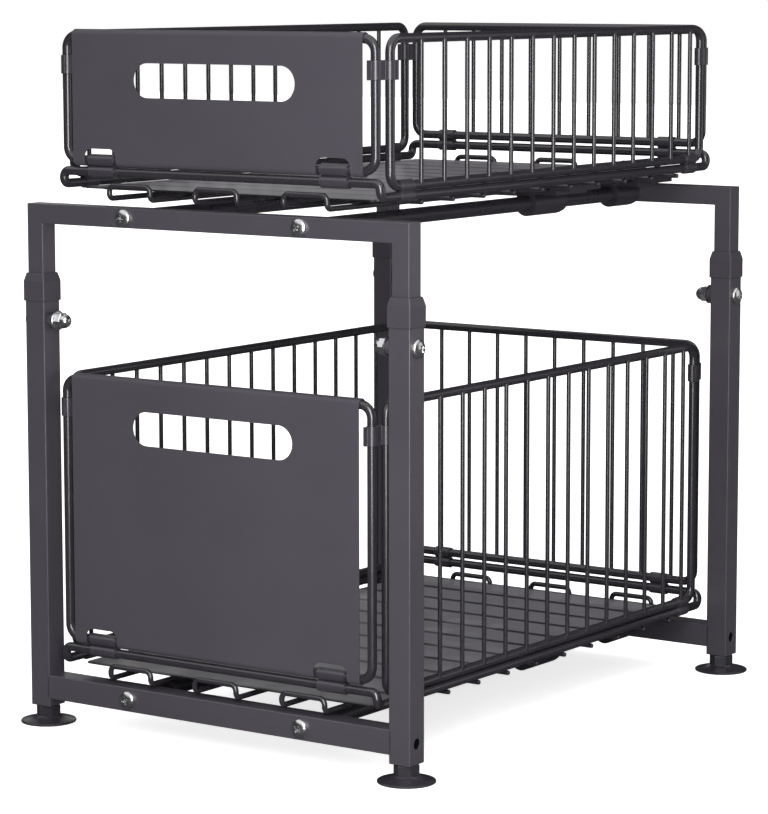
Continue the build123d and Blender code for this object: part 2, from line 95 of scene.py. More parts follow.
# %% Sizes of a basket, measured from the middle of its side rails
thick_radius = 3.0
thin_radius = 1.5
floor_radius = 1.6
hairpin_radius = 1.8
ring_x = 126.0
ring_y = 200.0
ring_rise = 8.6
side_wall_y = 190.0
side_wall_start = 6.2
end_wall_x = 122.3
end_wall_start = 16.0
wall_bend = 8.5
side_wires = -172.3 + 25.5 * np.arange(14)
back_wires = -97.5 + 25.0 * np.arange(9)
cross_wires = -157.5 + 35.0 * np.arange(10)
floor_height = -4.75
hairpin_height = -8.3
basket_lift = 20.1
baskets = {
    "lower": {"place": np.array((0.0, -2.0, low_rail_height + basket_lift)), "height": 188.0},
    "upper": {"place": np.array((0.0, 2.5, upper_rail_height + basket_lift)), "height": 96.3},
}

# %% [markdown]
# ## Surfaces from grids of points
#
# Nearly every piece here is an outline carried along a path: a circle along a bent wire, a
# rounded square along a tube, the section of a folded sheet along its width. One could draw
# each as a curve with a bevel, but a grid of points worked out at once as an array is exact,
# quick, and easy to check. Rows of the grid follow the path and columns go round the outline.

# %% Vectors of length one
def unit(vectors):
    """Each vector divided by its own length."""
    return vectors / np.linalg.norm(vectors, axis=-1, keepdims=True)


# %% Faces between neighbouring points of a grid
def grid_faces(rows, columns, ring):
    """Quads of a grid whose columns close on themselves, and its rows too if it is a ring.

    Point (r, c) has number r * columns + c. Each quad joins it to its neighbour round the
    outline and to the same two points of the next row.
    """
    row = np.arange(rows if ring else rows - 1)[:, None]
    column = np.arange(columns)[None, :]
    next_row = (row + 1) % rows
    next_column = (column + 1) % columns
    corners = [
        row * columns + column,
        row * columns + next_column,
        next_row * columns + next_column,
        next_row * columns + column,
    ]
    return np.stack(corners, axis=-1).reshape(-1, 4)


# %% A closed shell from a grid
def shell(grid, ring=False):
    """Points and faces of a grid; a grid that isn't a ring gets a flat face at each end."""
    rows, columns = grid.shape[:2]
    faces = grid_faces(rows, columns, ring).tolist()
    if not ring:
        first = list(range(columns))
        faces.append(first[::-1])
        faces.append([(rows - 1) * columns + number for number in first])
    return grid.reshape(-1, 3), faces


# %% An outline carried along a path
def carried(outline, middles, across, up, swell=1.0):
    """Grid whose point is middle + (u * across + v * up) * swell, for each outline point (u, v)."""
    count = len(middles)
    across = np.broadcast_to(across, (count, 3))[:, None]
    up = np.broadcast_to(up, (count, 3))[:, None]
    swell = np.broadcast_to(swell, (count,))[:, None, None]
    flat = outline[None, :, :1] * across + outline[None, :, 1:] * up
    return middles[:, None] + flat * swell


# %% Outlines: circle, arc, rounded rectangle, rounded square, stadium
def circle(sides, turn=0.0):
    """Points (cos t, sin t) at equal steps of t."""
    angles = turn + 2 * pi * np.arange(sides) / sides
    return np.stack([np.cos(angles), np.sin(angles)], axis=1)


def arc(middle, radius, first, last, steps):
    """Points middle + radius * (cos t, sin t), for t from first to last."""
    angles = np.linspace(first, last, steps + 1)
    return np.array(middle) + radius * np.stack([np.cos(angles), np.sin(angles)], axis=1)


def rounded_rectangle(half_width, half_height, corner, steps):
    """Four quarter circles, whose middles stand corner inside the rectangle's corners."""
    x = half_width - corner
    y = half_height - corner
    quarters = [
        arc((x, y), corner, 0, pi / 2, steps),
        arc((-x, y), corner, pi / 2, pi, steps),
        arc((-x, -y), corner, pi, 3 * pi / 2, steps),
        arc((x, -y), corner, 3 * pi / 2, 2 * pi, steps),
    ]
    return np.concatenate(quarters)


def rounded_square(half, corner):
    """A rounded rectangle with four equal sides."""
    return rounded_rectangle(half, half, corner, 5)


def stadium(low, top, radius, steps=12):
    """Half circle over a top middle and half circle under a low middle, straight between."""
    over = arc((0, top), radius, 0, pi, steps)
    under = arc((0, low), radius, pi, 2 * pi, steps)
    return np.concatenate([over, under])


# %% Round wire along a path
tilt = unit(np.array((0.52, 0.61, 0.60)))


def tube(path, radius, ring=True, sides=16, swell=1.0):
    """Circle of the wire's radius, square to the path at each of its points.

    The path's direction at a point is the mean of the runs before and after it. No run
    here lies along the tilted vector, so its cross product with the direction is always
    a good first axis for the circle.
    """
    ahead = unit(np.roll(path, -1, axis=0) - path)
    if not ring:
        ahead[-1] = ahead[-2]
    behind = np.roll(ahead, 1, axis=0)
    if not ring:
        behind[0] = ahead[0]
    direction = unit(ahead + behind)
    across = unit(np.cross(tilt, direction))
    up = np.cross(direction, across)
    return shell(carried(circle(sides) * radius, path, across, up, swell), ring)


# %% Straight wire with softly broken ends
def wire(start, end, radius, sides=12):
    """Straight tube whose first and last rows shrink as a cut wire's coated end does.

    Each of those rows has its distance from the end as a share of the radius, and the
    share of the radius that is left there.
    """
    start = np.array(start, float)
    end = np.array(end, float)
    length = np.linalg.norm(end - start)
    inset = radius * np.array((0.0, 0.12, 0.4, 1.0))
    shrink = np.array((0.6, 0.84, 0.97, 1.0))
    distance = np.concatenate([inset, length - inset[::-1]])
    path = start + unit(end - start) * distance[:, None]
    swell = np.concatenate([shrink, shrink[::-1]])
    return tube(path, radius, ring=False, sides=sides, swell=swell)


# %% Closed route with rounded bends
least_step = 0.01


def bent(corners, bends, steps=8):
    """Closed route through corners, each replaced by an arc.

    With b and a the directions back and ahead at a corner, and h half the angle between
    them, the arc's middle is the corner + unit(b + a) * bend / sin h, and its points turn
    from the side of b through pi - 2 h. Where two arcs meet, their shared point is kept once.
    """
    corners = np.array(corners, float)
    bends = np.broadcast_to(bends, (len(corners),))
    back = unit(np.roll(corners, 1, axis=0) - corners)
    ahead = unit(np.roll(corners, -1, axis=0) - corners)
    half = np.arccos((back * ahead).sum(axis=1)) / 2
    middle = corners + unit(back + ahead) * (bends / np.sin(half))[:, None]
    start = unit(corners + back * (bends / np.tan(half))[:, None] - middle)
    angle = np.linspace(0, 1, steps + 1)[None, :] * (pi - 2 * half)[:, None]
    turning = start[:, None] * np.cos(angle)[..., None] - back[:, None] * np.sin(angle)[..., None]
    route = (middle[:, None] + turning * bends[:, None, None]).reshape(-1, 3)
    step = np.linalg.norm(route - np.roll(route, 1, axis=0), axis=1)
    return route[step > least_step]


# %% Shapes turned about an axis
def turned(profile, base, axis, outline):
    """An outline that swells and shrinks along an axis: profile rows are (radius, distance)."""
    profile = np.array(profile, float)
    axis = unit(np.array(axis, float))
    beside = (0.0, 0.0, 1.0) if abs(axis[2]) < 0.5 else (0.0, 1.0, 0.0)
    across = unit(np.cross(beside, axis))
    up = np.cross(axis, across)
    middles = np.array(base, float) + axis * profile[:, 1:]
    return shell(carried(outline, middles, across, up, profile[:, 0]))


# %% Shells moved to a place
def moved(shells, offset):
    """The same shells, each point shifted by the offset."""
    return [(points + np.array(offset), faces) for points, faces in shells]


# %% [markdown]
# ## Cutting and softening
#
# A press punches holes through a sheet, and a drill goes through a tube. The Boolean
# modifier does the same to a mesh, and the Bevel modifier breaks the sharp edges that it
# leaves. Both are worked out on a loose mesh in millimetres, whose points and faces are
# then read back, so that no finished piece has a cut left to be worked out later.

# %% A loose mesh to work on
def loose_mesh(shells):
    """An object in millimetres that holds all the shells."""
    counts = np.cumsum([0] + [len(points) for points, faces in shells])
    points = np.concatenate([points for points, faces in shells])
    faces = []
    for start, (_, own_faces) in zip(counts, shells):
        faces += [[number + start for number in face] for face in own_faces]
    mesh = bpy.data.meshes.new("loose")
    mesh.from_pydata(points.tolist(), [], faces)
    loose = bpy.data.objects.new("loose", mesh)
    bpy.context.scene.collection.objects.link(loose)
    return loose


# %% Material cut away, edges softened
def worked(part, cutters=(), soft_edge=0.0):
    """One shell after its cutters have gone through it and its sharp edges are rounded."""
    blank = loose_mesh([part])
    tools = [loose_mesh([cutter]) for cutter in cutters]
    for tool in tools:
        cut = blank.modifiers.new("cut", "BOOLEAN")
        cut.operation = "DIFFERENCE"
        cut.solver = "EXACT"
        cut.object = tool
    if soft_edge:
        soft = blank.modifiers.new("soft", "BEVEL")
        soft.width = soft_edge
        soft.segments = 2
        soft.limit_method = "ANGLE"
        soft.angle_limit = radians(40)
    shape = blank.evaluated_get(bpy.context.evaluated_depsgraph_get()).to_mesh()
    points = np.empty(len(shape.vertices) * 3)
    shape.vertices.foreach_get("co", points)
    faces = [list(face.vertices) for face in shape.polygons]
    for used in [blank, *tools]:
        bpy.data.objects.remove(used)
    return points.reshape(-1, 3), faces


# %% [markdown]
# ## Finishes
#
# The steel is powder coated: a satin dark grey that leans a little to purple, with the fine
# dimples of baked powder. Slow noise shifts the tone, quicker noise shifts the gloss, and
# very fine noise makes the dimples as a bump, all read from the object's own coordinates.

# %% One recipe for coats, plastics and metals
def finish(
        name, dark, light, gloss, dimple_scale, dimple_depth,
        metallic=0.0, patch_scale=14.0, shine=0.5):
    """A shader whose tone, roughness and bump each follow their own noise.

    Tone runs from dark to light and roughness between the two values of gloss. Depth is in
    metres, and shine is the specular level.
    """
    made = bpy.data.materials.new(name)
    made.use_nodes = True
    nodes = made.node_tree.nodes
    links = made.node_tree.links
    shader = nodes["Principled BSDF"]
    shader.inputs["Metallic"].default_value = metallic
    shader.inputs["Specular IOR Level"].default_value = shine
    place = nodes.new("ShaderNodeTexCoord")

    patches = nodes.new("ShaderNodeTexNoise")
    patches.inputs["Scale"].default_value = patch_scale
    patches.inputs["Detail"].default_value = 4.0
    tone = nodes.new("ShaderNodeValToRGB")
    tone.color_ramp.elements[0].position = 0.3
    tone.color_ramp.elements[0].color = (*dark, 1.0)
    tone.color_ramp.elements[1].position = 0.7
    tone.color_ramp.elements[1].color = (*light, 1.0)
    links.new(place.outputs["Object"], patches.inputs["Vector"])
    links.new(patches.outputs["Fac"], tone.inputs["Fac"])
    links.new(tone.outputs["Color"], shader.inputs["Base Color"])

    smears = nodes.new("ShaderNodeTexNoise")
    smears.inputs["Scale"].default_value = patch_scale * 7
    smears.inputs["Detail"].default_value = 3.0
    sheen = nodes.new("ShaderNodeMapRange")
    sheen.inputs["From Min"].default_value = 0.3
    sheen.inputs["From Max"].default_value = 0.7
    sheen.inputs["To Min"].default_value = gloss[0]
    sheen.inputs["To Max"].default_value = gloss[1]
    links.new(place.outputs["Object"], smears.inputs["Vector"])
    links.new(smears.outputs["Fac"], sheen.inputs["Value"])
    links.new(sheen.outputs["Result"], shader.inputs["Roughness"])

    dimples = nodes.new("ShaderNodeTexNoise")
    dimples.inputs["Scale"].default_value = dimple_scale
    dimples.inputs["Detail"].default_value = 2.0
    relief = nodes.new("ShaderNodeBump")
    relief.inputs["Strength"].default_value = 1.0
    relief.inputs["Distance"].default_value = dimple_depth
    links.new(place.outputs["Object"], dimples.inputs["Vector"])
    links.new(dimples.outputs["Fac"], relief.inputs["Height"])
    links.new(relief.outputs["Normal"], shader.inputs["Normal"])
    return made


# %% The finishes of this organizer
finishes = {
    "coated_steel": finish(
        "satin powder coat", dark=(0.046, 0.041, 0.052), light=(0.052, 0.046, 0.058),
        gloss=(0.32, 0.40), dimple_scale=1100, dimple_depth=0.000004, shine=0.9),
    "front_plates": finish(
        "satin coat of the fronts", dark=(0.046, 0.041, 0.053), light=(0.051, 0.046, 0.058),
        gloss=(0.46, 0.54), dimple_scale=1000, dimple_depth=0.000008),
    "clip_steel": finish(
        "coat of the clips", dark=(0.030, 0.027, 0.035), light=(0.035, 0.031, 0.040),
        gloss=(0.28, 0.36), dimple_scale=1200, dimple_depth=0.000004, shine=0.9),
    "rods": finish(
        "coat of the rods", dark=(0.024, 0.021, 0.028), light=(0.029, 0.026, 0.033),
        gloss=(0.26, 0.34), dimple_scale=1200, dimple_depth=0.000006),
    "foot_steel": finish(
        "dark finish of the feet", dark=(0.023, 0.021, 0.027), light=(0.029, 0.026, 0.033),
        gloss=(0.24, 0.32), dimple_scale=1400, dimple_depth=0.000006),
    "black_plastic": finish(
        "fine-grained plastic", dark=(0.042, 0.038, 0.048), light=(0.048, 0.043, 0.054),
        gloss=(0.40, 0.48), dimple_scale=2200, dimple_depth=0.000008),
    "slider_plastic": finish(
        "smooth dark plastic", dark=(0.027, 0.024, 0.031), light=(0.033, 0.029, 0.037),
        gloss=(0.28, 0.36), dimple_scale=1500, dimple_depth=0.000006),
    "bright_screws": finish(
        "bright zinc", dark=(0.74, 0.74, 0.76), light=(0.84, 0.84, 0.86),
        gloss=(0.22, 0.30), dimple_scale=1800, dimple_depth=0.000004, metallic=1.0),
}


# %% Painted shade lines on the liner, over the cross wires that touch it from below
painted_line_tone = 0.04
painted_line_half_width = 0.0028
painted_line_softness = 0.6
liner_alpha = 0.86


def paint_wire_shade_lines(made, spacing, first):
    """Paints shade lines on the liner: multiplies its tone by the painted line tone over each
    wire, and by 1 away from it.

    The distance to the nearest wire is y minus the first wire's y, folded back and forth
    over half the spacing. Round the painted line's half width the factor rises smoothly to 1.
    """
    nodes = made.node_tree.nodes
    links = made.node_tree.links
    shader = nodes["Principled BSDF"]
    tone = nodes["Color Ramp"]
    apart = nodes.new("ShaderNodeSeparateXYZ")
    links.new(nodes["Texture Coordinate"].outputs["Object"], apart.inputs["Vector"])
    folded_y = nodes.new("ShaderNodeMath")
    folded_y.operation = "PINGPONG"
    folded_y.inputs[1].default_value = spacing / 2
    shifted = nodes.new("ShaderNodeMath")
    shifted.operation = "SUBTRACT"
    shifted.inputs[1].default_value = first
    links.new(apart.outputs["Y"], shifted.inputs[0])
    links.new(shifted.outputs["Value"], folded_y.inputs[0])
    # Painted shade: darkest over each cross wire, standing in for the wire's shade seen through the
    # liner
    shade = nodes.new("ShaderNodeMapRange")
    shade.interpolation_type = "SMOOTHSTEP"
    shade.inputs["From Min"].default_value = painted_line_half_width * (1 - painted_line_softness)
    shade.inputs["From Max"].default_value = painted_line_half_width * (1 + painted_line_softness)
    shade.inputs["To Min"].default_value = painted_line_tone
    shade.inputs["To Max"].default_value = 1.0
    links.new(folded_y.outputs["Value"], shade.inputs["Value"])
    darker = nodes.new("ShaderNodeVectorMath")
    darker.operation = "SCALE"
    links.new(tone.outputs["Color"], darker.inputs["Vector"])
    links.new(shade.outputs["Result"], darker.inputs["Scale"])
    links.new(darker.outputs["Vector"], shader.inputs["Base Color"])
    shader.inputs["Alpha"].default_value = liner_alpha


wire_spacing = cross_wires[1] - cross_wires[0]
liner_finishes = {}
for tier, basket in baskets.items():
    # The liner's own smoky tone, with painted shade lines over its cross wires
    made = finish(
        "smoky liner " + tier, dark=(0.20, 0.19, 0.215), light=(0.23, 0.22, 0.245),
        gloss=(0.32, 0.38), dimple_scale=30, dimple_depth=0.000001, patch_scale=4.0)
    first_wire = basket["place"][1] + cross_wires[0]
    paint_wire_shade_lines(made, wire_spacing * millimetre, first_wire * millimetre)
    liner_finishes[tier + "_liner"] = made
    print(made.name, "has a painted shade line at y", first_wire, "and every", wire_spacing, "mm after it")

# %% A glossier coat for the wires, its tone darkened as painted shade
wire_coat_with_painted_shade = finish(
    # Painted shade: less than half the tone of the same coat on the tubes, so the wires' edges stay
    # dark
    "glossier coat of the wires, darkened as painted shade", dark=(0.019, 0.017, 0.022), light=(0.024, 0.021, 0.027),
    gloss=(0.22, 0.28), dimple_scale=1300, dimple_depth=0.000002, shine=1.0)
wire_parts = (
    "base_ring", "cross_wires", "floor_hairpins", "front_loop",
    "back_wall", "left_wall", "right_wall",
)
print("finishes:", ", ".join(sorted(finishes)))


# %% [markdown]
# ## Making a piece
#
# A finished piece is one mesh with its place in its points. It rides on the body of the CAD
# node that it stands for, hides that node, and takes the node's finish. Its edges are
# rounded, and so that a large flat face isn't shaded as if it were curved, the Weighted
# Normal modifier lets the largest face at a point say which way the surface looks.

# %% Finish of a node
def finish_of(node):
    """A liner's sheet with painted shade lines, the wires' glossier coat darkened as painted shade,
    else the slot's finish.
    """
    if node in liner_finishes:
        return liner_finishes[node]
    if node.endswith(wire_parts):
        return wire_coat_with_painted_shade
    return finishes[slot_of[node]]


# %% Shells become a piece
largest_face_only = 100


def make_piece(name, shells, node, sharp=35):
    """Joins shells into one smooth mesh in metres, with edges past the sharp angle kept."""
    piece = loose_mesh(shells)
    piece.name = name
    mesh = piece.data
    mesh.name = name
    mesh.transform(Matrix.Scale(millimetre, 4))
    mesh.polygons.foreach_set("use_smooth", np.ones(len(mesh.polygons), bool))
    mesh.set_sharp_from_angle(angle=radians(sharp))
    mesh.materials.append(finish_of(node))
    flat_first = piece.modifiers.new("large faces shade flat", "WEIGHTED_NORMAL")
    flat_first.weight = largest_face_only
    flat_first.keep_sharp = True
    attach(piece, body_of[node])
    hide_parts(node)
    print(f"{name}: {len(mesh.vertices)} points, {len(mesh.polygons)} faces")


# %% [markdown]
# ## Stand
#
# The legs and bars are square tube with rounded corners, and the light runs down those
# corners as a fine bright line, so they are worth modelling. A leg is a rounded square
# carried upwards, outside and inside, joined at its rims. The upper half is one tube with
# mitred corners: at each corner the section lies in the plane that halves the turn.

# %% Hollow square tube
def square_tube(middles, across, up, half, corner, wall):
    """Outer skin there and inner skin back, so the two close into one hollow tube."""
    middles = np.array(middles, float)
    outer = carried(rounded_square(half, corner), middles, across, up)
    inner = carried(rounded_square(half - wall, corner / 3), middles, across, up)
    return shell(np.concatenate([outer, inner[::-1]]), ring=True)


# %% Lower end frames
x_way = np.array((1.0, 0.0, 0.0))
y_way = np.array((0.0, 1.0, 0.0))
z_way = np.array((0.0, 0.0, 1.0))


def lower_end_frame(side):
    """Two legs with a drilled hole each, and the bar let in between them."""
    y = side * leg_y
    inner_face = stand_width / 2 - leg_size + tube_wall
    bar_middles = [(-inner_face, y, low_bar_height), (inner_face, y, low_bar_height)]
    shells = [square_tube(bar_middles, y_way, z_way, leg_size / 2, leg_corner, tube_wall)]
    for x in (-leg_x, leg_x):
        leg_middles = [(x, y, leg_bottom), (x, y, leg_top)]
        leg = square_tube(leg_middles, x_way, y_way, leg_size / 2, leg_corner, tube_wall)
        outward = (np.sign(x), 0, 0)
        drill = turned(
            [(side_hole_radius, 0), (side_hole_radius, leg_size)],
            (x, y, side_hole_height), outward, circle(40))
        shells.append(worked(leg, [drill], soft_edge=0.25))
    return shells


make_piece("front_legs_and_bar", lower_end_frame(-1), "lower_front_frame")
make_piece("rear_legs_and_bar", lower_end_frame(1), "lower_rear_frame")


# %% Upper end frames
def upper_end_frame(side):
    """One mitred tube: up a post, across and down, with a slot for the height screws."""
    y = side * leg_y
    middles = [
        (-leg_x, y, post_bottom),
        (-leg_x, y, upper_bar_height),
        (leg_x, y, upper_bar_height),
        (leg_x, y, post_bottom),
    ]
    inwards = np.array([x_way, x_way - z_way, -z_way - x_way, -x_way])
    frame_tube = square_tube(middles, inwards, y_way, post_size / 2, post_corner, tube_wall)
    cutters = []
    for x in (-leg_x, leg_x):
        slot = stadium(slot_bottom + slot_width / 2, slot_top - slot_width / 2, slot_width / 2)
        slot_ends = np.array([(x - post_size, y, 0.0), (x + post_size, y, 0.0)])
        cutters.append(shell(carried(slot, slot_ends, y_way, z_way)))
    return [worked(frame_tube, cutters, soft_edge=0.2)]


make_piece("front_posts_and_bar", upper_end_frame(-1), "upper_front_frame")
make_piece("rear_posts_and_bar", upper_end_frame(1), "upper_rear_frame")

# %% [markdown]
# ### Collars
#
# A moulded cap steps each leg down to its post. It is a stack of rounded squares: up the
# outside, over the rim, down the inside and back, which closes the skin on itself.

# %% Collar skin
corners = [(x, y) for y in (-leg_y, leg_y) for x in (-leg_x, leg_x)]
collar_corner_share = 1.1 / 8.9
collar_rows = np.array([
    # half width, height over the leg's top
    (8.65, -13.0),
    (8.90, -12.7),
    (8.90, -0.15),
    (8.82, 0.25),
    (7.55, 5.05),
    (7.30, 5.40),
    (6.85, 5.40),
    (6.60, 5.10),
    (6.60, 0.00),
    (8.10, 0.00),
    (8.10, -12.8),
    (8.30, -13.0),
])


def collar(x, y):
    """Rounded squares of each row's half width, stacked at each row's height."""
    rows = [rounded_square(half, half * collar_corner_share) for half in collar_rows[:, 0]]
    heights = np.broadcast_to(collar_rows[:, 1, None] + leg_top, (len(rows), len(rows[0])))
    grid = np.concatenate([np.array(rows) + (x, y), heights[..., None]], axis=-1)
    return shell(grid, ring=True)


make_piece("leg_top_collars", [collar(x, y) for x, y in corners], "leg_collars", sharp=25)

# %% [markdown]
# ### Levelling feet
#
# A foot is a thin disc whose top slopes up to a hexagonal neck, which a spanner turns.
# Disc and neck are outlines that swell and shrink along the foot's axis.

# %% Feet: each row has a radius and its height over the floor
foot_disc = [
    (17.6, 0.0), (18.3, 0.2), (18.5, 0.6), (18.5, 1.1), (18.2, 1.5), (17.2, 1.8),
    (14.6, 2.3), (12.0, 2.9), (10.0, 3.5), (8.6, 4.2), (8.2, 4.7), (7.6, 4.9),
]
neck_flat = 14.3 / 2
hexagon_reach = neck_flat / cos(pi / 6)
foot_neck = [
    (hexagon_reach - 0.1, 4.5), (hexagon_reach, 4.7),
    (hexagon_reach, 11.1), (hexagon_reach - 0.7, 11.7),
]
neck_turn = radians(25)
foot_stud = [(4.0, 11.5), (4.0, 33.0), (3.3, 33.7)]
foot_names = ("front_left", "front_right", "rear_left", "rear_right")
for name, (x, y) in zip(foot_names, corners):
    base = (x, y, 0.0)
    neck = worked(turned(foot_neck, base, (0, 0, 1), circle(6, neck_turn)), soft_edge=0.35)
    disc = turned(foot_disc, base, (0, 0, 1), circle(72))
    stud = turned(foot_stud, base, (0, 0, 1), circle(24))
    make_piece("levelling_foot_" + name, [disc, neck, stud], "foot_" + name, sharp=30)

# %% [markdown]
# ### Screws and nuts
#
# The zinc heads and nuts are the only bright metal on the object. A pan head is a flattened
# dome with a cross-shaped recess. Each head is cut with Blender's Boolean and stands at its
# own turn, as driven screws do.

# %% Rows of a dome
def dome(radius, base, rise, top_hole, steps):
    """Rows (radius cos t, base + rise sin t), for t from 0 to a quarter turn less top_hole."""
    angles = np.linspace(0, pi / 2 - top_hole, steps)
    return np.stack([radius * np.cos(angles), base + rise * np.sin(angles)], axis=1)


# %% One screw head: each row has a radius and its height over the tube
head_rim = [(5.7, 0.0), (6.0, 0.3)]
head_profile = np.concatenate([head_rim, dome(6.0, 1.0, 2.8, 0.12, 10)])
arm = 3.0
half_web = 0.62
cross = np.array([
    (arm, -half_web), (arm, half_web), (half_web, half_web), (half_web, arm),
    (-half_web, arm), (-half_web, half_web), (-arm, half_web), (-arm, -half_web),
    (-half_web, -half_web), (-half_web, -arm), (half_web, -arm), (half_web, -half_web),
])
recess_rows = [(0.45, 1.3), (1.12, 4.6)]


def screw_head(turn):
    """A domed head standing on z = 0 with its cross turned by an angle."""
    rotation = np.array([(cos(turn), sin(turn)), (-sin(turn), cos(turn))])
    blank = turned(head_profile, (0, 0, 0), (0, 0, 1), circle(40))
    punch = turned(recess_rows, (0, 0, 0), (0, 0, 1), cross @ rotation)
    return worked(blank, [punch], soft_edge=0.12)


def set_against(part, base, axis):
    """A part that stands on z = 0, stood on a base so that it points along an axis."""
    points, faces = part
    axis = np.array(axis, float)
    across = np.cross(z_way, axis)
    up = np.cross(axis, across)
    return points @ np.array([across, up, axis]) + np.array(base), faces


# %% Screws through the bars and into the rods
shank = turned([(2.6, -6.0), (3.0, -5.6), (3.0, 0.2)], (0, 0, 0), (0, 0, 1), circle(20))
turns = radians(17) + radians(41) * np.arange(12)


def screws(places, first_turn):
    """A head and a short shank at each (base, axis), each head turned differently."""
    shells = []
    for (base, axis), turn in zip(places, turns[first_turn:]):
        shells.append(set_against(screw_head(turn), base, axis))
        shells.append(set_against(shank, base, axis))
    return shells


end_places = [(x, side) for side in (-1, 1) for x in (-rail_x, rail_x)]
low_face = leg_y + leg_size / 2
upper_face = leg_y + post_size / 2
low_screws = [((x, side * low_face, low_rail_height), (0, side, 0)) for x, side in end_places]
upper_screws = [((x, side * upper_face, upper_rail_height), (0, side, 0)) for x, side in end_places]
leg_screws = [
    ((x + np.sign(x) * leg_size / 2, y, height_bolt_height), (np.sign(x), 0, 0))
    for x, y in corners
]
make_piece("low_rod_screws", screws(low_screws, 0), "lower_rail_bolts")
make_piece("upper_rod_screws", screws(upper_screws, 4), "upper_rail_bolts")
make_piece("height_screws", screws(leg_screws, 8), "height_bolts")

# %% Bushes and domed nuts on the legs' inner sides
spacer_length = 4.5
spacer_rows = [(4.8, 0.0), (5.2, 0.2), (5.2, spacer_length - 0.2), (4.8, spacer_length)]
flange_rows = [(6.2, 0.0), (6.6, 0.25), (6.6, 0.8), (6.1, 1.25), (5.2, 1.5)]
hexagon_rows = [(5.4, 1.3), (5.77, 1.6), (5.77, 5.4), (5.0, 6.0)]
dome_rows = dome(4.75, 5.9, 5.0, 0.2, 9)
spacers = []
nuts = []
for x, y in corners:
    inwards = (-np.sign(x), 0, 0)
    face = (x - np.sign(x) * leg_size / 2, y, height_bolt_height)
    seat = (face[0] - np.sign(x) * spacer_length, y, height_bolt_height)
    spacers.append(turned(spacer_rows, face, inwards, circle(32)))
    nuts.append(turned(flange_rows, seat, inwards, circle(40)))
    nuts.append(worked(turned(hexagon_rows, seat, inwards, circle(6)), soft_edge=0.15))
    nuts.append(turned(dome_rows, seat, inwards, circle(36)))
make_piece("height_bushes", spacers, "height_spacers")
make_piece("domed_nuts", nuts, "height_nuts", sharp=25)

# %% [markdown]
# ### Rods
#
# Four plain rods join the front and rear frames, and the baskets slide on them.

# %% Rods
def rod(x, height, reach):
    """A round bar along Y from the front frame to the rear one."""
    return wire((x, -reach, height), (x, reach, height), rail_radius, sides=40)


for name, x in (("left", -rail_x), ("right", rail_x)):
    low_rod = rod(x, low_rail_height, leg_y - leg_size / 2)
    upper_rod = rod(x, upper_rail_height, leg_y - post_size / 2)
    make_piece("low_rod_" + name, [low_rod], "lower_rail_" + name)
    make_piece("upper_rod_" + name, [upper_rod], "upper_rail_" + name)

# %% [markdown]
# ## Baskets
#
# Both baskets are made the same way and differ only in height and in where their rear
# sliders stand, so each function below makes one piece of a basket about its own middle,
# and a last step moves it to its tier.

# %% Base ring, its end rails a step higher than its side rails
def base_ring():
    """Eight corners: along the high front rail, down, back along the side, and up again."""
    low, top = 0.0, ring_rise
    stops = []
    for x, y in ((1, -1), (1, 1), (-1, 1), (-1, -1)):
        high_stop = (x * ring_x, y * ring_y, top)
        low_stop = (x * ring_x, y * ring_y, low)
        stops += [high_stop, low_stop] if x * y < 0 else [low_stop, high_stop]
    return [tube(bent(stops, ring_rise / 2), thick_radius, sides=24)]


# %% Floor: cross wires and long hairpins
cross_wire_overhang = 2.0
hairpin_half_width = 16.75
hairpin_reach = 201.5
hairpin_low_bend = 3.5
hairpin_top_bend = 4.0


def floor_wires():
    """Ten wires under the side rails, a little longer than the basket is wide."""
    half = ring_x + cross_wire_overhang
    return [
        wire((-half, y, floor_height), (half, y, floor_height), floor_radius)
        for y in cross_wires
    ]


def hairpins():
    """Three long loops, each bent up and over the end rails at both ends."""
    low = hairpin_height
    top = 0.0
    y = hairpin_reach
    shells = []
    for middle in (-rail_x, 0, rail_x):
        left = middle - hairpin_half_width
        right = middle + hairpin_half_width
        stops = [
            (right, y, low), (right, y, top), (left, y, top), (left, y, low),
            (left, -y, low), (left, -y, top), (right, -y, top), (right, -y, low),
        ]
        end_bends = (hairpin_low_bend, hairpin_top_bend, hairpin_top_bend, hairpin_low_bend)
        bends = np.array(end_bends * 2)
        shells.append(tube(bent(stops, bends), hairpin_radius, sides=16))
    return shells


# %% Walls: a loop of thick wire with thin uprights
upright_y = 2.0


def wall_loop(half_width, bottom, top):
    """Upright rounded rectangle in the plane y = 0."""
    stops = [
        (-half_width, 0, bottom), (half_width, 0, bottom),
        (half_width, 0, top), (-half_width, 0, top),
    ]
    return tube(bent(stops, wall_bend, steps=10), thick_radius, sides=24)


def wall(half_width, bottom, top, places):
    """A loop and its uprights, which are welded a little proud of its outer face."""
    uprights = [
        wire((x, upright_y, bottom), (x, upright_y, top), thin_radius) for x in places
    ]
    return [wall_loop(half_width, bottom, top), *uprights]


def about_z(shells, turn, offset):
    """Shells turned about Z by quarter turns, then moved."""
    cosine = round(cos(turn))
    sine = round(sin(turn))
    rotation = np.array([(cosine, sine, 0), (-sine, cosine, 0), (0, 0, 1)])
    return [(points @ rotation + np.array(offset), faces) for points, faces in shells]


# %% [markdown]
# ### Front plate
#
# The plate is thin sheet that hooks over the top wire of the front loop and under its
# bottom wire. Its section is drawn once and carried across, then a press makes the handle
# slot and the two windows at the bottom, where the base clips pass.

# %% Section of the plate
sheet_out = 3.9
sheet_in = 3.1
lip = 2.0


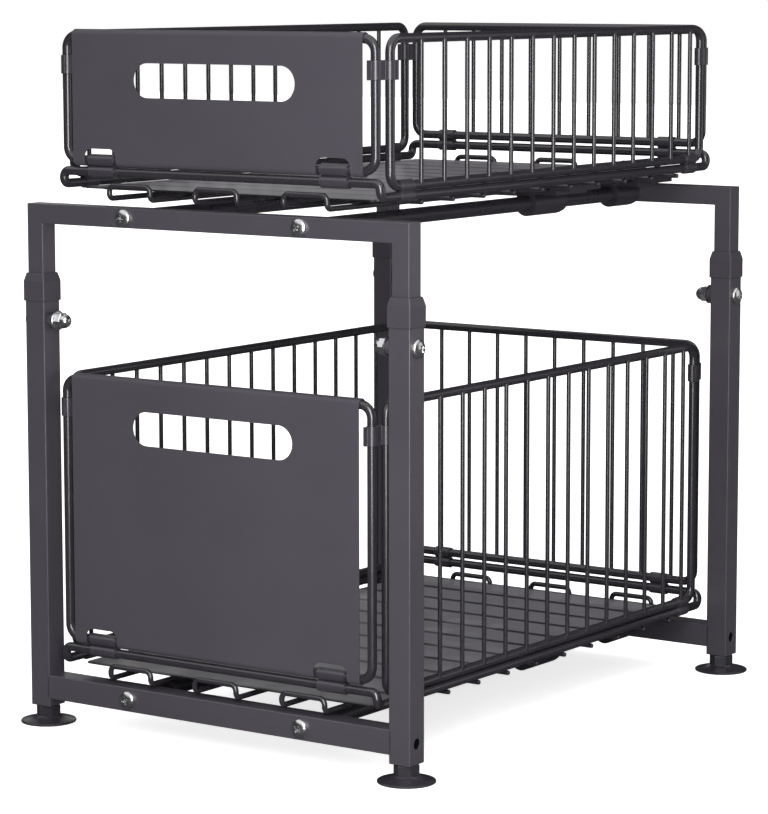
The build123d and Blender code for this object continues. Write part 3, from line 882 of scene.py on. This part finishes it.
def plate_section(bottom, top):
    """Outline over the top wire, down the front, round the bottom wire, and back inside."""
    return np.concatenate([
        [(sheet_out, top - lip)],
        arc((0, top), sheet_out, 0, pi, 14),
        arc((0, bottom), sheet_out, pi, 2 * pi, 14),
        [(sheet_out, bottom + lip)],
        [(sheet_in, bottom + lip)],
        arc((0, bottom), sheet_in, 2 * pi, pi, 14),
        arc((0, top), sheet_in, pi, 0, 14),
        [(sheet_in, top - lip)],
    ])


# %% Plate with its slot and windows
plate_half_width = 115.0
handle_half_length = 64.0
handle_radius = 11.0
handle_drop = 28.3
window_x = 92.5
window_half_width = 13.0
window_low = 5.0
window_top = 23.5
window_corner = 5.5


def front_plate(height):
    """The section carried along X, then pressed through along Y."""
    ends = np.array([(-plate_half_width, 0.0, 0.0), (plate_half_width, 0.0, 0.0)])
    plate = shell(carried(plate_section(end_wall_start, height), ends, y_way, z_way))
    along_y = np.array([(0.0, 12.0, 0.0), (0.0, -12.0, 0.0)])
    half_grip = handle_half_length - handle_radius
    grip_height = height - handle_drop
    grip = np.concatenate([
        arc((half_grip, grip_height), handle_radius, -pi / 2, pi / 2, 24),
        arc((-half_grip, grip_height), handle_radius, pi / 2, 3 * pi / 2, 24),
    ])
    cutters = [shell(carried(grip, along_y, x_way, z_way))]
    corner_x = window_half_width - window_corner
    corner_height = window_top - window_corner
    window = np.concatenate([
        [(-window_half_width, window_low), (window_half_width, window_low)],
        arc((corner_x, corner_height), window_corner, 0, pi / 2, 8),
        arc((-corner_x, corner_height), window_corner, pi / 2, pi, 8),
    ])
    for x in (-window_x, window_x):
        cutters.append(shell(carried(window, along_y + (x, 0, 0), x_way, z_way)))
    return [worked(plate, cutters, soft_edge=0.22)]


# %% [markdown]
# ### Clips
#
# Short strips of sheet tie the walls to the base ring, and tie the walls to each other near
# the top. Each is pressed close round two wires, so it has a waist between them, and those
# near the top end in a flat ear outside each wire. Where an upright rises through the fold
# of a clip, the fold has a notch for it.

# %% Outline of a pressed clip
waist = 0.8
clip_half_width = 6.5
front_clip_half_width = 10.5
back_clip_x = 94.0
side_clip_y = 174.5
corner_clip_height = 12.0
corner_clip_drop = 25.0
corner_clip_ear = 2.2
notch_radius = 1.7
notch_height = 8.0


def pinched(first, second, ear):
    """Two half arcs round each wire, which meet in a waist, and an ear beyond each wire.

    The arcs start where they are a waist's half thickness off the line from wire to wire,
    or, if the wires are closer than that, where the two circles cross.
    """
    first = np.array(first, float)
    second = np.array(second, float)
    gap = np.linalg.norm(second - first)
    ahead = (second - first) / gap
    beside = np.array([-ahead[1], ahead[0]]) * waist
    heading = np.arctan2(ahead[1], ahead[0])
    nip = max(asin(waist / sheet_out), 1.02 * acos(min(1.0, gap / 2 / sheet_out)))
    tip = (sheet_out + ear) * ahead
    return np.concatenate([
        arc(first, sheet_out, heading + nip, heading + pi - nip, 13),
        [first - tip + beside, first - tip - beside],
        arc(first, sheet_out, heading + pi + nip, heading + 2 * pi - nip, 13),
        arc(second, sheet_out, heading + pi + nip, heading + 2 * pi - nip, 13),
        [second + tip - beside, second + tip + beside],
        arc(second, sheet_out, heading + 2 * pi + nip, heading + 3 * pi - nip, 13),
    ])


# %% The eight clips of a basket's floor
def strap(middle, half_width, low, top, uprights=np.array([])):
    """Outline round a low and a top wire, carried along X, and notched at uprights."""
    ends = np.array([(middle - half_width, 0.0, 0.0), (middle + half_width, 0.0, 0.0)])
    blank = shell(carried(pinched((0, low), (0, top), 0.0), ends, y_way, z_way))
    near = uprights[abs(uprights - middle) < half_width + notch_radius]
    notches = [
        wire((x, upright_y, top), (x, upright_y, top + notch_height), notch_radius) for x in near
    ]
    return worked(blank, notches, soft_edge=0.15)


def base_clips():
    """Two wide ones in the front plate's windows, two at the back, and two on each side."""
    front = [
        strap(x, front_clip_half_width, ring_rise, end_wall_start)
        for x in (-window_x, window_x)
    ]
    back = [
        strap(x, clip_half_width, ring_rise, end_wall_start, back_wires)
        for x in (-back_clip_x, back_clip_x)
    ]
    side = [
        strap(x, clip_half_width, 0.0, side_wall_start, side_wires)
        for x in (-side_clip_y, side_clip_y)
    ]
    shells = moved(front, (0, -ring_y, 0)) + moved(back, (0, ring_y, 0))
    shells += about_z(side, pi / 2, (-ring_x, 0, 0))
    shells += about_z(side, -pi / 2, (ring_x, 0, 0))
    return shells


# %% The four clips at a basket's corners
def corner_clip(side_wire, end_wire, low):
    """Outline round a side wall's wire and an end wall's wire, carried upwards."""
    ends = np.array([(0.0, 0.0, low), (0.0, 0.0, low + corner_clip_height)])
    outline = pinched(side_wire, end_wire, corner_clip_ear)
    return worked(shell(carried(outline, ends, x_way, y_way)), soft_edge=0.25)


def corner_clips(height):
    """One clip at each corner of the basket."""
    low = height - corner_clip_drop
    return [
        corner_clip((x * ring_x, y * side_wall_y), (x * end_wall_x, y * ring_y), low)
        for x in (-1, 1)
        for y in (-1, 1)
    ]


# %% [markdown]
# ### Sliders
#
# A plastic slider is a sleeve round the rod under a stepped plate, and two grooves in the
# plate grip a hairpin. Its profile is one outline, carried along the rod and then bored.

# %% Profile of a slider, seen along the rod
sleeve = 8.7
bore_radius = 5.17
plate_top = 13.15
plate_low = 9.15
plate_edge = 35.0
step_low = 6.15
step_edge = 24.0
groove_low = 9.85
groove_sides = (14.52, 18.98)
rounded_end = 6.0


def slider_profile():
    """Right half of plate and step, their mirror image, and the sleeve's arc underneath."""
    start = asin(step_low / sleeve)
    right = np.array([
        (step_edge, step_low), (step_edge, plate_low),
        (plate_edge, plate_low), (plate_edge, plate_top),
        (groove_sides[1], plate_top), (groove_sides[1], groove_low),
        (groove_sides[0], groove_low), (groove_sides[0], plate_top),
    ])
    left = right[::-1] * (-1, 1)
    return np.concatenate([right, left, arc((0, 0), sleeve, pi - start, 2 * pi + start, 40)])


def slider(x, y, length):
    """The profile carried along Y, bored for the rod, its lower rear corner rounded off."""
    ends = np.array([(0.0, length, 0.0), (0.0, 0.0, 0.0)])
    blank = shell(carried(slider_profile(), ends, x_way, z_way))
    bore_rows = [(bore_radius, -5), (bore_radius, length + 5)]
    bore = turned(bore_rows, (0, 0, 0), (0, 1, 0), circle(40))
    arc_y = length - rounded_end
    arc_height = rounded_end - sleeve
    round_off = np.concatenate([
        [(length + 2, -sleeve - 2), (length + 2, arc_height)],
        arc((arc_y, arc_height), rounded_end, 0, -pi / 2, 10),
        [(arc_y, -sleeve - 2)],
    ])
    sideways = np.array([(-12.0, 0.0, 0.0), (12.0, 0.0, 0.0)])
    corner = shell(carried(round_off, sideways, y_way, z_way))
    return moved([worked(blank, [bore, corner], soft_edge=0.5)], (x, y, -basket_lift))


def slider_pair(y, length):
    """One slider on each rod."""
    return slider(-rail_x, y, length) + slider(rail_x, y, length)


# %% Liner that lies on the cross wires
liner_half_width = 116
liner_half_length = 193
liner_corner = 4
liner_low = -3.1
liner_top = -2.1


def liner():
    """Rounded sheet a millimetre thick, its edges slightly softened."""
    outline = rounded_rectangle(liner_half_width, liner_half_length, liner_corner, 8)
    middles = np.array([(0.0, 0.0, liner_low), (0.0, 0.0, liner_top)])
    return [worked(shell(carried(outline, middles, x_way, y_way)), soft_edge=0.2)]


# %% Both baskets
front_slider_y = 51.5
front_slider_length = 40.0
rear_slider_length = 29.0
rear_gap = 0.6
rear_face = {"lower": leg_y - leg_size / 2, "upper": leg_y - post_size / 2}
for tier, basket in baskets.items():
    place = basket["place"]
    height = basket["height"]
    end_loop = wall_loop(end_wall_x, end_wall_start, height)
    back = wall(end_wall_x, end_wall_start, height, back_wires)
    side = wall(side_wall_y, side_wall_start, height, side_wires)
    rear_slider_y = rear_face[tier] - place[1] - rear_gap - rear_slider_length
    pieces = {
        "base_ring": base_ring(),
        "cross_wires": floor_wires(),
        "floor_hairpins": hairpins(),
        "liner": liner(),
        "front_loop": moved([end_loop], (0, -ring_y, 0)),
        "front_plate": moved(front_plate(height), (0, -ring_y, 0)),
        "back_wall": moved(back, (0, ring_y, 0)),
        "left_wall": about_z(side, pi / 2, (-ring_x, 0, 0)),
        "right_wall": about_z(side, -pi / 2, (ring_x, 0, 0)),
        "base_clips": base_clips(),
        "corner_clips": corner_clips(height),
        "front_sliders": slider_pair(front_slider_y, front_slider_length),
        "rear_sliders": slider_pair(rear_slider_y, rear_slider_length),
    }
    for part, shells in pieces.items():
        node = f"{tier}_{part}"
        make_piece(f"{tier}_round_{part}", moved(shells, place), node)

# %% [markdown]
# ### Carried-over nodes
#
# The plugs in the leg ends are plain square blocks that only show, nearly black, through the side
# holes of the legs. The CAD node stays and gets a darker plastic of its own: black plastic, made
# nearly black and nearly without shine as painted shade of the legs' insides.

# %% Plastic of the plugs, with painted shade
plugs = frame["nodes"]["leg_plugs"]
plugs.data.materials.clear()
# Painted shade: tone and shine far below real black plastic, so the plugs stay as dark as the shade
# inside the legs
plug_plastic_and_painted_shade = finish(
    "black plug plastic with painted hole shade", dark=(0.002, 0.002, 0.002), light=(0.004, 0.004, 0.004),
    gloss=(0.5, 0.6), dimple_scale=2200, dimple_depth=0.00001, shine=0.05)
plugs.data.materials.append(plug_plastic_and_painted_shade)

# %% [markdown]
# ## Studio
#
# In the photograph the ground is pure white and the coat is dark with narrow bright lines,
# which a room full of white can't give. So floor and surround look white to the camera, but
# are dim in the coat's reflections, and the lines come from one tall soft light near the
# camera. A weaker wide light on the right fills the sides, a low one behind on the left
# brightens the liners' front edges, and a wide overhead light whitens the floor.

# %% Floor
floor_mesh = bpy.data.meshes.new("floor")
floor_mesh.from_pydata([(-9, -9, 0), (9, -9, 0), (9, 9, 0), (-9, 9, 0)], [], [(0, 1, 2, 3)])
floor = bpy.data.objects.new("floor", floor_mesh)
bpy.context.scene.collection.objects.link(floor)
pale = finish(
    "pale floor", dark=(0.90, 0.90, 0.90), light=(0.92, 0.92, 0.92),
    gloss=(0.7, 0.8), dimple_scale=400, dimple_depth=0.00001)
floor_mesh.materials.append(pale)

# %% What the camera sees of the floor, and what glossy surfaces see of it
glow_to_camera = 0.75
tone_to_gloss = 0.06
floor_nodes = pale.node_tree.nodes
floor_links = pale.node_tree.links
floor_shader = floor_nodes["Principled BSDF"]
floor_shader.inputs["Emission Color"].default_value = (1.0, 1.0, 1.0, 1.0)
kind_of_ray = floor_nodes.new("ShaderNodeLightPath")
glow = floor_nodes.new("ShaderNodeMapRange")
glow.inputs["To Max"].default_value = glow_to_camera
floor_links.new(kind_of_ray.outputs["Is Camera Ray"], glow.inputs["Value"])
floor_links.new(glow.outputs["Result"], floor_shader.inputs["Emission Strength"])
dim_floor = floor_nodes.new("ShaderNodeBsdfDiffuse")
dim_floor.inputs["Color"].default_value = (tone_to_gloss, tone_to_gloss, tone_to_gloss, 1.0)
either = floor_nodes.new("ShaderNodeMixShader")
floor_links.new(kind_of_ray.outputs["Is Glossy Ray"], either.inputs["Fac"])
floor_links.new(floor_shader.outputs["BSDF"], either.inputs[1])
floor_links.new(dim_floor.outputs["BSDF"], either.inputs[2])
floor_links.new(either.outputs["Shader"], floor_nodes["Material Output"].inputs["Surface"])

# %% White surround that lights softly
surround_to_camera = 1.0
surround_to_matt = 0.35
surround_to_gloss = 0.03
world = bpy.data.worlds.new("studio")
world.use_nodes = True
world_nodes = world.node_tree.nodes
world_links = world.node_tree.links
backdrop = world_nodes["Background"]
backdrop.inputs["Color"].default_value = (1.0, 1.0, 1.0, 1.0)
seen_by = world_nodes.new("ShaderNodeLightPath")
for_light = world_nodes.new("ShaderNodeMapRange")
for_light.inputs["To Min"].default_value = surround_to_matt
for_light.inputs["To Max"].default_value = surround_to_gloss
world_links.new(seen_by.outputs["Is Glossy Ray"], for_light.inputs["Value"])
strength = world_nodes.new("ShaderNodeMapRange")
strength.inputs["To Max"].default_value = surround_to_camera
world_links.new(seen_by.outputs["Is Camera Ray"], strength.inputs["Value"])
world_links.new(for_light.outputs["Result"], strength.inputs["To Min"])
world_links.new(strength.outputs["Result"], backdrop.inputs["Strength"])
bpy.context.scene.world = world
bpy.context.scene.view_settings.view_transform = "Standard"
print("surround to camera, matt, gloss:", surround_to_camera, surround_to_matt, surround_to_gloss)


# %% Soft lights
def soft_light(name, place, target, width, height, watts):
    """An area light in metres and watts that faces its target with its height upright."""
    light = bpy.data.lights.new(name, "AREA")
    light.shape = "RECTANGLE"
    light.size = width
    light.size_y = height
    light.energy = watts
    lamp = bpy.data.objects.new(name, light)
    back = unit(np.array(place, float) - np.array(target, float))
    right = unit(np.cross((0.0, 0.0, 1.0), back))
    up = np.cross(back, right)
    turn = np.stack([right, up, back], axis=1)
    lamp.matrix_world = Matrix.Translation(place) @ Matrix(turn.tolist()).to_4x4()
    lamp.visible_camera = False
    bpy.context.scene.collection.objects.link(lamp)
    print(name, "light of", watts, "watts")


soft_light(
    "key", place=(0.56, -0.87, 0.47), target=(0.05, -0.10, 0.26),
    width=0.30, height=0.9, watts=8.6)
soft_light(
    "fill", place=(1.50, 0.95, 0.60), target=(0.0, 0.0, 0.23),
    width=1.2, height=1.1, watts=3.0)
soft_light(
    "backdrop_glow", place=(-1.65, 1.62, 0.87), target=(0.0, 0.0, 0.36),
    width=0.9, height=0.7, watts=1.4)

# %% Wide overhead light
sky = bpy.data.lights.new("overhead", "SUN")
sky.energy = 1.8
sky.angle = radians(110)
overhead = bpy.data.objects.new("overhead", sky)
overhead.matrix_world = Matrix.Rotation(radians(12), 4, "X")
bpy.context.scene.collection.objects.link(overhead)

# %% [markdown]
# ## Camera
#
# The camera was solved from the stand's straight edges in the photograph: it stands to the
# right of the front, a little above, and looks 7.6 degrees down. Its focal length came out
# in pixels of the photograph, so it is multiplied by the sensor's share of one pixel.

# %% Camera
camera_place = (1.2601, -1.8110, 0.4956)
focal_pixels = 3246.24
photo_width = 768
sensor_width = 36.0
azimuth = radians(35.05)
pitch = radians(7.6)
roll = radians(-0.07)
back = np.array((sin(azimuth) * cos(pitch), -cos(azimuth) * cos(pitch), sin(pitch)))
level = np.array((cos(azimuth), sin(azimuth), 0.0))
upright = np.cross(back, level)
right = level * cos(roll) + upright * sin(roll)
up = np.cross(back, right)
lens = bpy.data.cameras.new("camera")
lens.sensor_fit = "HORIZONTAL"
lens.sensor_width = sensor_width
lens.lens = focal_pixels * sensor_width / photo_width
camera = bpy.data.objects.new("camera", lens)
turn = Matrix(np.stack([right, up, back], axis=1).tolist()).to_4x4()
camera.matrix_world = Matrix.Translation(camera_place) @ turn
bpy.context.scene.collection.objects.link(camera)
bpy.context.scene.camera = camera
